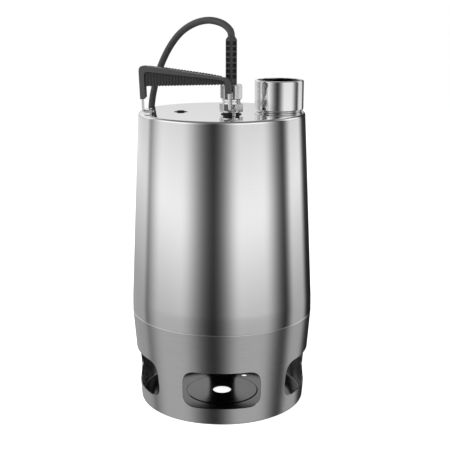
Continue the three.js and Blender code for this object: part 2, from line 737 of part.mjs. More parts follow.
function cableTail() {
  const { x, y, height, turnRadius } = COIL;
  const onTop = height + GAP + CABLE_RADIUS;
  const around = (angle, radius, z) =>
    point(x + radius * Math.cos(degrees(angle)), y + radius * Math.sin(degrees(angle)), z);
  const into = point(0, 0, 2).applyMatrix4(plugTurn);
  const before = point(0, 0, -14).applyMatrix4(plugTurn);
  before.z = Math.max(before.z, onTop + 0.2);
  const route = new THREE.CatmullRomCurve3([
    around(183, turnRadius, onTop - 0.6),
    around(165, turnRadius - 2, onTop),
    around(150, turnRadius - 7, onTop),
    around(130, turnRadius - 12, onTop + 0.2),
    around(110, turnRadius - 15, onTop + 0.2),
    before,
    into,
  ], false, 'centripetal');
  const plugSpace = new THREE.CylinderGeometry(12, 12, 30, SMALL);
  plugSpace.rotateX(Math.PI / 2);
  plugSpace.translate(0, 0, 15 - GAP);
  plugSpace.applyMatrix4(plugTurn);
  return bar(route, CABLE_RADIUS, 8, 16).subtract(coilRing(GAP)).subtract(solid(plugSpace));
}

function plugBody() {
  const { head, headFrom, tail, length } = PLUG;
  const geometry = new THREE.LatheGeometry([
    new THREE.Vector2(0, 0), new THREE.Vector2(tail, 0), new THREE.Vector2(tail + 1, 12),
    new THREE.Vector2(head - 5, 30), new THREE.Vector2(head, headFrom), new THREE.Vector2(head, length),
    new THREE.Vector2(0, length),
  ], SMALL);
  geometry.rotateX(Math.PI / 2);
  geometry.applyMatrix4(plugTurn);
  return solid(geometry);
}

function plugPin(side) {
  const { length, pin, pinLength, pinSpread } = PLUG;
  const geometry = new THREE.CylinderGeometry(pin, pin, pinLength, 12);
  geometry.rotateX(Math.PI / 2);
  geometry.translate(0, side * pinSpread, length + GAP + pinLength / 2);
  geometry.applyMatrix4(plugTurn);
  return solid(geometry);
}

// ---- The assembly ----
add('pump_sleeve', pumpSleeve(), 'polished');
add('discharge_socket', dischargeSocket(), 'polished');
add('inlet_strainer', inletStrainer(), 'satin');
add('pump_housing', pumpHousing(), 'plastic');
add('housing_o_ring', oRing(O_RING.pitch, O_RING.section, O_RING.z, ROUND), 'rubber');
add('guide_vane_ring', guideVaneRing(), 'plastic');
add('seal_cover', sealCover(), 'steel');
for (let i = 0; i < SCREW.count; i += 1) {
  add(`bracket_screw_${i + 1}`, coverScrew(SCREW, ...screwPlace(i)), 'steel');
}
add('oil_screw', coverScrew(OIL_SCREW, OIL_SCREW.x, OIL_SCREW.y), 'brass');
add('lower_bearing_bracket', lowerBearingBracket(), 'aluminium');
add('upper_bearing_shield', upperBearingShield(), 'aluminium');
add('stator_housing', ring(CAN_INNER, CAN_RADIUS, CAN_LOW, CAN_HIGH, MOTOR), 'satin');
add('motor_top_cover', motorTopCover(), 'steel');
add('motor_o_ring', oRing(MOTOR_O_RING.pitch, MOTOR_O_RING.section, MOTOR_O_RING.z, MOTOR), 'rubber');
add('stator_core', statorCore(), 'steel');
add('stator_winding_lower', windingHead(WINDING.low, STACK.low - GAP), 'copper');
add('stator_winding_upper', windingHead(STACK.high + GAP, WINDING.high), 'copper');
add('capacitor', capacitor(), 'plastic');
add('cable_entry_tube', cableEntryTube(), 'steel');

add('gland_gasket', glandGasket(), 'rubber');
add('gland_body', glandBody(), 'satin');
add('gland_nut', glandNut(), 'polished');
add('cable_boot', cableBoot(), 'rubber');
add('vent_screw', ventScrew(), 'plastic');
add('handle_eye_left', hingeEye(2), 'polished');
add('handle_eye_right', hingeEye(HINGE_SPAN - 0.2), 'polished');

add('shaft', shaft(), 'steel');
add('rotor_core', rotorCore(), 'aluminium');
add('impeller', impeller(), 'plastic');
add('impeller_key', keyBlock(0), 'steel');
add('impeller_washer', ring(THREAD_RADIUS + GAP, WASHER.radius, WASHER.low, WASHER.high, SMALL), 'steel');
add('impeller_nut', impellerNut(), 'steel');
add('shaft_seal_stationary', ring(SHAFT_RADIUS + 0.7, 14.6, SEAL.fixedLow, SEAL.fixedTop, SMALL), 'ceramic');
add('shaft_seal_rotating', ring(SHAFT_RADIUS + 0.4, 13.5, SEAL.turningLow, SEAL.turningTop, SMALL), 'steel');
add('seal_spring', sealSpring(), 'steel');
for (const [place, z] of [['lower', LOWER_BEARING_Z], ['upper', UPPER_BEARING_Z]]) {
  add(`${place}_bearing_outer`, bearingOuter(z), 'steel');
  add(`${place}_bearing_inner`, bearingInner(z), 'steel');
  add(`${place}_ball_cage`, ballCage(z), 'brass');
}

add('handle_bail', bar(bailPath(), WIRE_RADIUS, 8, BAIL_STEPS), 'polished');
add('handle_grip', handleGrip(), 'grip');

add('cable_run', cableRun(), 'rubber');
add('cable_coil', cableCoil(), 'rubber');
add('cable_tail', cableTail(), 'rubber');
add('coil_tie', tieLoop(TIE.proud, TIE.depth, TIE.width), 'plastic');
add('plug_body', plugBody(), 'rubber');
add('plug_pin_1', plugPin(-1), 'brass');
add('plug_pin_2', plugPin(1), 'brass');

export default pump;
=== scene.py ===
"""The looks of a stainless submersible drainage pump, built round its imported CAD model.

Shapes are drawn in millimetres, +Z up, with the origin on the pump's axis at the floor,
and every mesh is stored in metres.
"""

import json
import math

import bmesh
import bpy
from mathutils import Matrix, Vector


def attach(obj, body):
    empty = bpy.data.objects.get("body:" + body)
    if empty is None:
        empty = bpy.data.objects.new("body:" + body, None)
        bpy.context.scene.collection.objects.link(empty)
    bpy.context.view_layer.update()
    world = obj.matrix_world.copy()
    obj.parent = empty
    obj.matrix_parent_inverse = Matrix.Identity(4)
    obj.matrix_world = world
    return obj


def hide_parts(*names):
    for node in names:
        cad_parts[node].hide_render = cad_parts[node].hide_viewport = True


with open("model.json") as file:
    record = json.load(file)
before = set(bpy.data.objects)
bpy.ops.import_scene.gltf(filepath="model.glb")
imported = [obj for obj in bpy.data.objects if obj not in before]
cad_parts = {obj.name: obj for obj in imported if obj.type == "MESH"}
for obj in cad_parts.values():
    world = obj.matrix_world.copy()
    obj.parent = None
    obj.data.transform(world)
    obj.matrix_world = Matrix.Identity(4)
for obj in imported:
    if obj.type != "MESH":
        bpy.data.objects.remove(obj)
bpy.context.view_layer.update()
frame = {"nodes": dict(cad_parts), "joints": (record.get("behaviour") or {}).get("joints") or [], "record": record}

MM = 0.001
FINE = 160  # facets of a large turned piece
MEDIUM = 64  # facets of a small one

# ---- Dimensions ----
SHEET = 1.5
JOINT_Z = 111.1
SLEEVE_RADIUS = 107.3
SLEEVE_STRAIGHT_TOP = 125
COVER_TOP = 347.2
COVER_RADIUS = 96.5
BASE_RADIUS = 98.6
STRAINER_FLARE = 0.08
WINDOWS = dict(count=5, half_angle=26, low=20.2, high=64.7, corner=13)
BASE = dict(sheet=1.2, disc=42.1, raised=0.6, hole=11.2, drain=(28.4, 46.6), drain_radius=3.6)
OUTLET = dict(x=66.1, y=0, radius=28.2, bore=20.5, thread=23, top=383.4)
THREAD = dict(pitch=2.3, depth=1.3)
RIM_HEIGHT = 2.6  # the mirror-bright top of the outlet
GLAND = (10.7, -29.4)
GLAND_TURN = -9.5  # degrees, for both hexagons
GASKET = dict(bore=8.4, radius=11.8, low=347.5, high=349.9)
FLANGE = dict(radius=13.2, low=350.2, high=352.3)
HEX = dict(radius=13.5, low=352.1, high=359.5)
NECK = dict(radius=10.7, low=359, high=364.6)
NUT = dict(radius=12.6, low=364.9, high=381)
VENT = (-47.3, -5.8)
BOOT = dict(low=381.3, top=433, radius=6.3, pitch=6.1, cells=7, first=386.5, depth=2.2)
CABLE_RADIUS = 4
COIL = dict(x=8, y=206, inner=56, pitch=8, columns=5, layers=4, height=33, first_z=4.15)


# ---- Camera ----
def make_camera():
    data = bpy.data.cameras.new("camera")
    data.sensor_width = 36
    data.lens = 76
    camera = bpy.data.objects.new("camera", data)
    camera.location = Vector((3.7, -1100, 477.7)) * MM
    camera.rotation_euler = (math.radians(90 - 13.6), 0, 0)
    bpy.context.scene.collection.objects.link(camera)
    bpy.context.scene.camera = camera


make_camera()


# ---- Mesh tools ----
def make_object(name, bm):
    bmesh.ops.remove_doubles(bm, verts=bm.verts, dist=1e-5)
    bmesh.ops.recalc_face_normals(bm, faces=bm.faces)
    bmesh.ops.scale(bm, vec=(MM, MM, MM), verts=bm.verts)
    mesh = bpy.data.meshes.new(name)
    bm.to_mesh(mesh)
    bm.free()
    piece = bpy.data.objects.new(name, mesh)
    bpy.context.scene.collection.objects.link(piece)
    return piece


def settle(piece):
    """Turns the piece's modifiers into mesh."""
    graph = bpy.context.evaluated_depsgraph_get()
    mesh = bpy.data.meshes.new_from_object(piece.evaluated_get(graph))
    piece.modifiers.clear()
    piece.data = mesh
    return piece


def smooth(piece, angle=35):
    """Shades the piece smooth between its sharp edges, with the large faces keeping their own direction."""
    piece.data.polygons.foreach_set("use_smooth", [True] * len(piece.data.polygons))
    piece.data.set_sharp_from_angle(angle=math.radians(angle))
    weighted = piece.modifiers.new("weighted", "WEIGHTED_NORMAL")
    weighted.keep_sharp = True
    weighted.weight = 100
    return settle(piece)


def combine(piece, other, operation="DIFFERENCE"):
    modifier = piece.modifiers.new("combine", "BOOLEAN")
    modifier.object = other
    modifier.operation = operation
    modifier.solver = "EXACT"
    settle(piece)
    bpy.data.objects.remove(other)
    return piece


def bevel(piece, width, segments=3, angle=30):
    modifier = piece.modifiers.new("bevel", "BEVEL")
    modifier.width = width * MM
    modifier.segments = segments
    modifier.limit_method = "ANGLE"
    modifier.angle_limit = math.radians(angle)
    modifier.harden_normals = False
    return settle(piece)


def filleted(points, steps=5):
    """A closed outline whose corners with a third value are rounded by that much."""
    outline = []
    for i, point in enumerate(points):
        corner = Vector(point[:2])
        if len(point) < 3:
            outline.append(corner)
            continue
        before = Vector(points[i - 1][:2])
        after = Vector(points[(i + 1) % len(points)][:2])
        enter = corner + (before - corner).normalized() * point[2]
        leave = corner + (after - corner).normalized() * point[2]
        for step in range(steps + 1):
            t = step / steps
            outline.append((1 - t) ** 2 * enter + 2 * t * (1 - t) * corner + t**2 * leave)
    return outline


def lathe(name, points, facets=FINE, centre=(0, 0)):
    outline = filleted(points)
    bm = bmesh.new()
    rings = []
    for i in range(facets):
        angle = 2 * math.pi * i / facets
        rings.append([
            bm.verts.new((centre[0] + p.x * math.cos(angle), centre[1] + p.x * math.sin(angle), p.y))
            for p in outline
        ])
    count = len(outline)
    for i in range(facets):
        here, there = rings[i], rings[(i + 1) % facets]
        for j in range(count):
            k = (j + 1) % count
            if outline[j].x or outline[k].x:
                bm.faces.new((here[j], there[j], there[k], here[k]))
    bmesh.ops.dissolve_degenerate(bm, dist=1e-6, edges=bm.edges)
    return smooth(make_object(name, bm))


def prism(name, outline, depth, matrix=None):
    """A flat outline in X and Y, thickened upward from Z 0, then placed by the matrix."""
    bm = bmesh.new()
    low = [bm.verts.new((p[0], p[1], 0)) for p in outline]
    high = [bm.verts.new((p[0], p[1], depth)) for p in outline]
    bm.faces.new(low)
    bm.faces.new(high)
    for i in range(len(outline)):
        j = (i + 1) % len(outline)
        bm.faces.new((low[i], low[j], high[j], high[i]))
    if matrix:
        bmesh.ops.transform(bm, matrix=matrix, verts=bm.verts)
    return make_object(name, bm)


def hexagon(name, radius, low, high, centre, turn):
    outline = [
        (radius * math.cos(math.radians(60 * i + turn)), radius * math.sin(math.radians(60 * i + turn)))
        for i in range(6)
    ]
    return prism(name, outline, high - low, Matrix.Translation((*centre, low)))


def cylinder(name, radius, low, high, centre, facets=MEDIUM):
    return lathe(name, [(0, low), (radius, low), (radius, high), (0, high)], facets, centre)


def centripetal(points, spacing):
    """A smooth line through the points, with a point about every spacing."""
    points = [Vector(p) for p in points]
    ends = [2 * points[0] - points[1], *points, 2 * points[-1] - points[-2]]
    line = []
    for p0, p1, p2, p3 in zip(ends, ends[1:], ends[2:], ends[3:]):
        t1 = (p1 - p0).length ** 0.5
        t2 = t1 + (p2 - p1).length ** 0.5
        t3 = t2 + (p3 - p2).length ** 0.5
        steps = max(2, round((p2 - p1).length / spacing))
        for step in range(steps):
            t = t1 + (t2 - t1) * step / steps
            a1 = p0 * ((t1 - t) / t1) + p1 * (t / t1)
            a2 = p1 * ((t2 - t) / (t2 - t1)) + p2 * ((t - t1) / (t2 - t1))
            a3 = p2 * ((t3 - t) / (t3 - t2)) + p3 * ((t - t2) / (t3 - t2))
            b1 = a1 * ((t2 - t) / t2) + a2 * (t / t2)
            b2 = a2 * ((t3 - t) / (t3 - t1)) + a3 * ((t - t1) / (t3 - t1))
            line.append(b1 * ((t2 - t) / (t2 - t1)) + b2 * ((t - t1) / (t2 - t1)))
    line.append(points[-1])
    return line


def tube(name, line, radius, sides=16):
    """A round bar along a line of points, with closed ends and no twist."""
    bm = bmesh.new()
    rings = []
    side = None
    for i, point in enumerate(line):
        along = (line[min(i + 1, len(line) - 1)] - line[max(i - 1, 0)]).normalized()
        if side is None:
            side = along.orthogonal()
        side = (side - along * side.dot(along)).normalized()
        other = along.cross(side)
        rings.append([
            bm.verts.new(point + radius * (side * math.cos(a) + other * math.sin(a)))
            for a in (2 * math.pi * k / sides for k in range(sides))
        ])
    for here, there in zip(rings, rings[1:]):
        for k in range(sides):
            m = (k + 1) % sides
            bm.faces.new((here[k], here[m], there[m], there[k]))
    bm.faces.new(rings[0])
    bm.faces.new(rings[-1])
    return smooth(make_object(name, bm), 50)


# ---- Materials ----
def material(name, color, rough, metal=0.0, grain=(1, 1, 1), spread=0.06, bump=0.05, scale=120, coat=0.0):
    """A procedural finish: its tone, roughness and surface vary with a noise stretched by grain."""
    made = bpy.data.materials.new(name)
    made.use_nodes = True
    nodes, links = made.node_tree.nodes, made.node_tree.links
    shader = nodes["Principled BSDF"]
    shader.inputs["Metallic"].default_value = metal
    shader.inputs["Coat Weight"].default_value = coat
    place = nodes.new("ShaderNodeTexCoord")
    stretch = nodes.new("ShaderNodeMapping")
    stretch.inputs["Scale"].default_value = grain
    links.new(place.outputs["Object"], stretch.inputs["Vector"])
    noise = nodes.new("ShaderNodeTexNoise")
    noise.inputs["Scale"].default_value = scale
    noise.inputs["Detail"].default_value = 5
    links.new(stretch.outputs["Vector"], noise.inputs["Vector"])
    tone = nodes.new("ShaderNodeValToRGB")
    tone.color_ramp.elements[0].position = 0.3
    tone.color_ramp.elements[1].position = 0.7
    tone.color_ramp.elements[0].color = (*(c * (1 - spread) for c in color), 1)
    tone.color_ramp.elements[1].color = (*(min(1, c * (1 + spread)) for c in color), 1)
    links.new(noise.outputs["Fac"], tone.inputs["Fac"])
    links.new(tone.outputs["Color"], shader.inputs["Base Color"])
    gloss = nodes.new("ShaderNodeMapRange")
    gloss.inputs["To Min"].default_value = rough * 0.85
    gloss.inputs["To Max"].default_value = rough * 1.15
    links.new(noise.outputs["Fac"], gloss.inputs["Value"])
    links.new(gloss.outputs["Result"], shader.inputs["Roughness"])
    relief = nodes.new("ShaderNodeBump")
    relief.inputs["Strength"].default_value = bump
    relief.inputs["Distance"].default_value = 0.0004
    links.new(noise.outputs["Fac"], relief.inputs["Height"])
    links.new(relief.outputs["Normal"], shader.inputs["Normal"])
    return made


def grey(tone):
    return (tone, tone, tone)


EVEN = (1, 1, 1)  # no direction in the surface
BRUSHED_ROUND = (1, 1, 40)  # fine lines that run round the pump's axis
MATERIALS = {
    "sleeve": material("brushed_sleeve", grey(0.8), 0.12, 1, BRUSHED_ROUND, 0.02, 0.02, 60),
    "cover": material("mirror_cover", grey(0.86), 0.03, 1, EVEN, 0.01, 0.004, 60),
    # Near-black steel for the outlet's thread and bore: painted shade inside the outlet.
    "bore": material("thread_painted_shade", grey(0.035), 0.22, 1, (1, 1, 12), 0.05, 0.05, 90),
    "satin": material("satin_stainless", grey(0.76), 0.2, 1, BRUSHED_ROUND, 0.05, 0.06, 60),
    # Darker copies of the satin steel: painted shade on the strainer's inner wall and, darker still, on its floor.
    "satin_painted_shade_inside": material("satin_stainless_painted_shade_inside", grey(0.34), 0.2, 1, BRUSHED_ROUND, 0.05, 0.03, 60),
    "satin_painted_shade_floor": material("satin_stainless_painted_shade_floor", grey(0.12), 0.14, 1, EVEN, 0.05, 0.03, 60),
    "polished": material("polished_stainless", grey(0.8), 0.14, 1, (1, 1, 8), 0.02, 0.01, 90),
    "fitting": material("turned_stainless", grey(0.82), 0.12, 1, (1, 1, 20), 0.04, 0.03, 90),
    "steel": material("machined_steel", (0.55, 0.56, 0.57), 0.35, 1, (1, 1, 20), 0.08, 0.05, 90),
    "aluminium": material("cast_aluminium", (0.62, 0.63, 0.64), 0.5, 1, EVEN, 0.08, 0.25, 260),
    "brass": material("machined_brass", (0.74, 0.58, 0.3), 0.3, 1, (1, 1, 12), 0.06, 0.05, 90),
    "copper": material("varnished_copper", (0.62, 0.3, 0.14), 0.35, 0.8, (1, 1, 14), 0.2, 0.5, 60, 0.4),
    "rubber": material("cable_rubber", (0.042, 0.042, 0.044), 0.5, 0, EVEN, 0.12, 0.08, 500),
    "boot": material("boot_rubber", (0.036, 0.036, 0.037), 0.45, 0, EVEN, 0.15, 0.1, 500),
    # Near black: the vent plug's own colour, and painted shade in the boot's sunk cells.
    "near_black_and_painted_shade": material("near_black_rubber_and_painted_recess_shade", grey(0.006), 0.6, 0, EVEN, 0.15, 0.1, 500),
    # Darker plastic for the web, ribs and knobs: painted shade between the grip's raised parts.
    "grip_web_painted_shade": material("grip_web_plastic_painted_shade", (0.024, 0.024, 0.026), 0.5, 0, EVEN, 0.1, 0.12, 700),
    "grip": material("grip_plastic", (0.052, 0.052, 0.054), 0.42, 0, EVEN, 0.1, 0.12, 700),
    "plastic": material("moulded_plastic", (0.035, 0.035, 0.038), 0.45, 0, EVEN, 0.12, 0.1, 400),
    "ceramic": material("seal_ceramic", (0.8, 0.77, 0.7), 0.25, 0, EVEN, 0.04, 0.03, 300),
}


# ---- Cable: free run, coil and tail as one line ----
CABLE_RUN = [
    (10.7, -29.4, 433.3), (10.7, -29.4, 435.5), (9.5, -28.2, 439.6), (3, -22, 445.9),
    (-10, -9, 450), (-20.1, 0.5, 449.6), (-31.8, 11.8, 446), (-45.2, 24.8, 437.7),
    (-56.1, 35.4, 426.1), (-65.8, 44.9, 411), (-75, 53.9, 391.3), (-82, 61.2, 368.7),
    (-86, 65, 347), (-88, 69, 300), (-88, 73, 220), (-87, 77, 130), (-85, 81, 60),
    (-83, 86, 34), (-81, 99, 14), (-80, 118, 5.5), (-80, 140, 4.3), (-80, 185, 4.2),
]
CLIMB_DEGREES = 50  # the last stretch of a turn, where the cable steps to the next one
CLIMB_BULGE = 3


def on_coil(degrees, radius, z):
    angle = math.radians(degrees)
    return Vector((COIL["x"] + radius * math.cos(angle), COIL["y"] + radius * math.sin(angle), z))


def coil_line():
    """Clockwise turns, layer on layer, which start and end on the coil's left side."""
    turns = []
    for layer in range(COIL["layers"]):
        columns = range(COIL["columns"])
        ordered = reversed(columns) if layer % 2 == 0 else columns
        z = COIL["first_z"] + 8.15 * layer
        turns += [(COIL["inner"] + COIL["pitch"] * c, z) for c in ordered]
    turns.append((turns[-1][0], turns[-1][1] + 8.3))
    line = []
    per_turn = 36
    for (r, z), (next_r, next_z) in zip(turns, turns[1:]):
        for step in range(per_turn):
            turned = 360 * step / per_turn
            t = max(0, (turned - (360 - CLIMB_DEGREES)) / CLIMB_DEGREES)
            ease = t * t * (3 - 2 * t)
            outward = 1 if r > COIL["inner"] + COIL["pitch"] else -1
            bulge = outward * CLIMB_BULGE * math.sin(math.pi * t) if next_z != z else 0
            line.append(on_coil(180 - turned, r + (next_r - r) * ease + bulge, z + (next_z - z) * ease))
    return line


PLUG = dict(head=19, head_from=44, tail=6, length=58, pin=2.4, pin_length=19, spread=9.5)
PLUG_TILT = math.atan((PLUG["head"] - PLUG["tail"]) / PLUG["head_from"])
PLUG_REAR = Vector((
    COIL["x"] + 6, COIL["y"] + 72, COIL["height"] + 0.3 + PLUG["tail"] * math.cos(PLUG_TILT),
))
PLUG_PLACE = Matrix.Translation(PLUG_REAR) @ Matrix.Rotation(math.pi / 2 - PLUG_TILT, 4, "Y")


def cable_line():
    on_top = COIL["height"] + 0.3 + CABLE_RADIUS
    tail = [
        on_coil(180, 88, on_top - 0.4), on_coil(165, 86, on_top), on_coil(150, 81, on_top),
        on_coil(130, 76, on_top), on_coil(110, 73, on_top), PLUG_PLACE @ Vector((0, 0, -14)),
        PLUG_PLACE @ Vector((0, 0, -0.3)),
    ]
    tail[-2].z = max(tail[-2].z, on_top)
    return centripetal(CABLE_RUN, 5) + coil_line() + centripetal(tail, 5)


def plug():
    p = PLUG
    body = lathe("plug", [
        (0, 0), (p["tail"] - 1, 0, 0.5), (p["tail"], 3, 1), (p["tail"] + 1, 12, 4), (p["head"] - 5, 30, 6),
        (p["head"], p["head_from"], 3), (p["head"], p["length"], 1.2), (p["head"] - 2, p["length"], 0.5),
        (p["head"] - 3, p["length"] - 1.2, 0.5), (0, p["length"] - 1.2),
    ], MEDIUM)
    for side in range(8):
        angle = math.radians(45 * side + 22.5)
        notch = prism("notch", [(-1.6, -10), (1.6, -10), (1.6, 10), (-1.6, 10)], 3)
        notch.data.transform(Matrix.Translation(Vector((0, 0, p["head"] - 0.9)) * MM))
        notch.data.transform(Matrix.Rotation(math.pi / 2, 4, "X"))
        notch.data.transform(Matrix.Translation(Vector((0, 0, 51)) * MM))
        notch.data.transform(Matrix.Rotation(angle, 4, "Z"))
        combine(body, notch)
    body.data.transform(Matrix.Translation(PLUG_REAR * MM) @ PLUG_PLACE.to_3x3().to_4x4())
    return smooth(body)


def plug_pin(number, side):
    p = PLUG
    low = p["length"] - 1
    high = p["length"] + 0.3 + p["pin_length"]
    pin = lathe(f"plug_contact_{number}", [
        (0, low), (p["pin"], low), (p["pin"], high, 1.6), (0, high),
    ], 24, (0, side * p["spread"]))
    pin.data.transform(Matrix.Translation(PLUG_REAR * MM) @ PLUG_PLACE.to_3x3().to_4x4())
    return pin


def coil_tie():
    """A flat strap round the bundle at the coil's rear."""
    middle = COIL["y"] + 72.25
    half = 20.1
    outer = [
        (-half, 0.2, 4), (half, 0.2, 4), (half, COIL["height"] - 0.1, 4), (-half, COIL["height"] - 0.1, 4),
    ]
    inner = [(x - math.copysign(1, x), z + (1 if z < 10 else -1), 3.4) for x, z, _ in outer]
    place = Matrix(((0, 0, 1, COIL["x"] - 6), (1, 0, 0, middle), (0, 1, 0, 0), (0, 0, 0, 1)))
    strap = prism("strap", filleted(outer), 12, place)
    hollow = prism("hollow", filleted(inner), 16, place @ Matrix.Translation((0, 0, -2)))
    return smooth(bevel(combine(strap, hollow), 0.25, 2))


# ---- Outer shells ----
def pump_sleeve():
    low = JOINT_Z + 0.1
    flat = COVER_RADIUS - 4.6
    shell = lathe("sleeve", [
        (SLEEVE_RADIUS, low, 0.3), (SLEEVE_RADIUS, SLEEVE_STRAIGHT_TOP, 8), (COVER_RADIUS, COVER_TOP, 3.4),
        (flat, COVER_TOP), (flat - 2, COVER_TOP), (0, COVER_TOP), (0, COVER_TOP - SHEET),
        (COVER_RADIUS - SHEET, COVER_TOP - SHEET, 3), (SLEEVE_RADIUS - SHEET, SLEEVE_STRAIGHT_TOP, 8),
        (SLEEVE_RADIUS - SHEET, low, 0.3),
    ], 192)
    for x, y, radius in ((OUTLET["x"], OUTLET["y"], 24), (*GLAND, 8.4), (*VENT, 5.5)):
        combine(shell, cylinder("hole", radius, COVER_TOP - 8, COVER_TOP + 8, (x, y)))
    smooth(shell, 30)
    shell.data.materials.append(MATERIALS["sleeve"])
    shell.data.materials.append(MATERIALS["cover"])
    for face in shell.data.polygons:
        face.material_index = int(face.center.z > (COVER_TOP - 3.3) * MM)
    return shell


def window_cutter(index):
    middle = (WINDOWS["low"] + WINDOWS["high"]) / 2
    wall = BASE_RADIUS + STRAINER_FLARE * middle
    half_width = wall * math.sin(math.radians(WINDOWS["half_angle"]))
    half_height = (WINDOWS["high"] - WINDOWS["low"]) / 2
    corner = WINDOWS["corner"] * 1.2
    outline = filleted([
        (half_width, half_height, corner), (-half_width, half_height, corner),
        (-half_width, -half_height, corner), (half_width, -half_height, corner),
    ], 10)
    turn = Matrix.Rotation(2 * math.pi * index / WINDOWS["count"], 4, "Z")
    place = Matrix.Translation((0, -70, middle)) @ Matrix.Rotation(math.pi / 2, 4, "X")
    return prism("window", outline, 50, turn @ place)


def cone_normals(piece, slope):
    """Gives the faces that lie on the strainer's wall the wall's true normals, whatever is cut from it."""
    mesh = piece.data
    normals = [corner.vector.copy() for corner in mesh.corner_normals]
    for face in mesh.polygons:
        for corner in face.loop_indices:
            point = mesh.vertices[mesh.loops[corner].vertex_index].co
            outward = Vector((point.x, point.y, -slope * point.xy.length)).normalized()
            facing = face.normal.dot(outward)
            if abs(facing) > 0.99:
                normals[corner] = outward * math.copysign(1, facing)
    mesh.normals_split_custom_set(normals)
    return piece


def inlet_strainer():
    top = JOINT_Z
    sheet, disc, raised, hole = BASE["sheet"], BASE["disc"], BASE["raised"], BASE["hole"]

    def wall(z):
        return BASE_RADIUS + STRAINER_FLARE * z

    body = lathe("strainer", [
        (hole, raised, 0.2), (disc, raised, 0.5), (disc + 1, 0, 0.5), (wall(0), 0, 2.2),
        (wall(top), top, 1.1),
        (wall(top) - SHEET, top, 0.3), (wall(0) - SHEET, sheet, 2.5), (disc + 2, sheet, 0.5),
        (disc + 1, raised + sheet, 0.5), (hole, raised + sheet, 0.2),
    ], 200)
    for i in range(WINDOWS["count"]):
        combine(body, window_cutter(i))
    combine(body, cylinder("drain", BASE["drain_radius"], -2, 6, BASE["drain"], 32))
    body = cone_normals(smooth(bevel(body, 0.35, 2, 50), 30), STRAINER_FLARE)
    # The inner wall and the floor take the darker satin steel, painted shade of the strainer's inside.
    for finish in ("satin", "satin_painted_shade_inside", "satin_painted_shade_floor", "polished"):
        body.data.materials.append(MATERIALS[finish])
    for face in body.data.polygons:
        centre = face.center / MM
        inward = centre.xy.length < wall(centre.z) - 0.9 * SHEET
        edge = centre.z > top - 1 and face.normal.z > 0.15 and not inward
        floor = inward and centre.z < 2 * raised + sheet
        face.material_index = 3 if edge else int(inward) + int(floor)
    return body


def discharge_socket():
    seat = COVER_TOP + 0.3
    top = OUTLET["top"]
    outer = OUTLET["radius"]
    crest = OUTLET["thread"]
    bore = OUTLET["bore"]
    root = crest + THREAD["depth"]
    pitch = THREAD["pitch"]
    points = [
        (bore, COVER_TOP - 4, 0.4), (bore + 3, COVER_TOP - 4, 0.4), (bore + 3, seat), (outer - 2, seat, 0.3),
        (outer - 2, seat + 0.9, 0.3), (outer, seat + 2.2, 1.3), (outer, top, 2), (crest + 1.5, top, 0.6),
        (root, top - 1, 0.4), (root, top - 5),
    ]
    z = top - 6
    while z > COVER_TOP + 12:
        points += [(crest, z), (root, z - pitch / 2)]
        z -= pitch
    points += [(crest, COVER_TOP + 10.5), (bore, COVER_TOP + 8, 0.4)]
    socket = lathe("outlet_socket", points, 128, (OUTLET["x"], OUTLET["y"]))
    socket.data.materials.append(MATERIALS["polished"])
    socket.data.materials.append(MATERIALS["bore"])
    socket.data.materials.append(MATERIALS["cover"])
    # The thread and bore take the near-black steel, painted shade down the outlet's inside.
    for face in socket.data.polygons:
        reach = math.hypot(face.center.x / MM - OUTLET["x"], face.center.y / MM - OUTLET["y"])
        on_rim = face.center.z > (top - RIM_HEIGHT) * MM
        face.material_index = 1 if reach < crest + 1.4 else 2 * int(on_rim)
    return socket


# ---- Gland and boot ----
def gland_pieces():
    body = bevel(hexagon("gland_hex", HEX["radius"], HEX["low"], HEX["high"], GLAND, GLAND_TURN), 0.5)
    radius, low, high = FLANGE["radius"], FLANGE["low"], FLANGE["high"]
    flange = lathe("gland_flange", [
        (0, low), (radius, low, 0.4), (radius, high - 0.3, 0.4), (radius - 0.8, high, 0.3), (0, high),
    ], MEDIUM, GLAND)
    radius, low, high = NECK["radius"], NECK["low"], NECK["high"]
    groove = radius - 0.8
    neck = lathe("gland_neck", [
        (0, low), (radius, low, 0.3), (radius, low + 2, 0.3), (groove, low + 2.5, 0.3),
        (groove, low + 3.5, 0.3), (radius, low + 4, 0.3), (radius, high, 0.4), (0, high),
    ], MEDIUM, GLAND)
    nut = combine(
        bevel(hexagon("gland_cap", NUT["radius"], NUT["low"], NUT["high"], GLAND, GLAND_TURN), 0.6),
        lathe("chamfer", [(0, 360), (14, 360), (14, 378.2), (10.3, 381.3), (0, 381.3)], MEDIUM, GLAND),
        "INTERSECT",
    )
    bore, radius, low, high = GASKET["bore"], GASKET["radius"], GASKET["low"], GASKET["high"]
    gasket = lathe("gasket", [
        (bore, low), (radius, low, 0.1), (radius, low + 0.5, 0.2), (bore + 1, low + 0.8, 0.3),
        (bore + 1, high), (bore, high),
    ], MEDIUM, GLAND)
    return smooth(body), flange, neck, smooth(nut), gasket


def soft_step(value, low, high):
    t = min(1, max(0, (value - low) / (high - low)))
    return t * t * (3 - 2 * t)


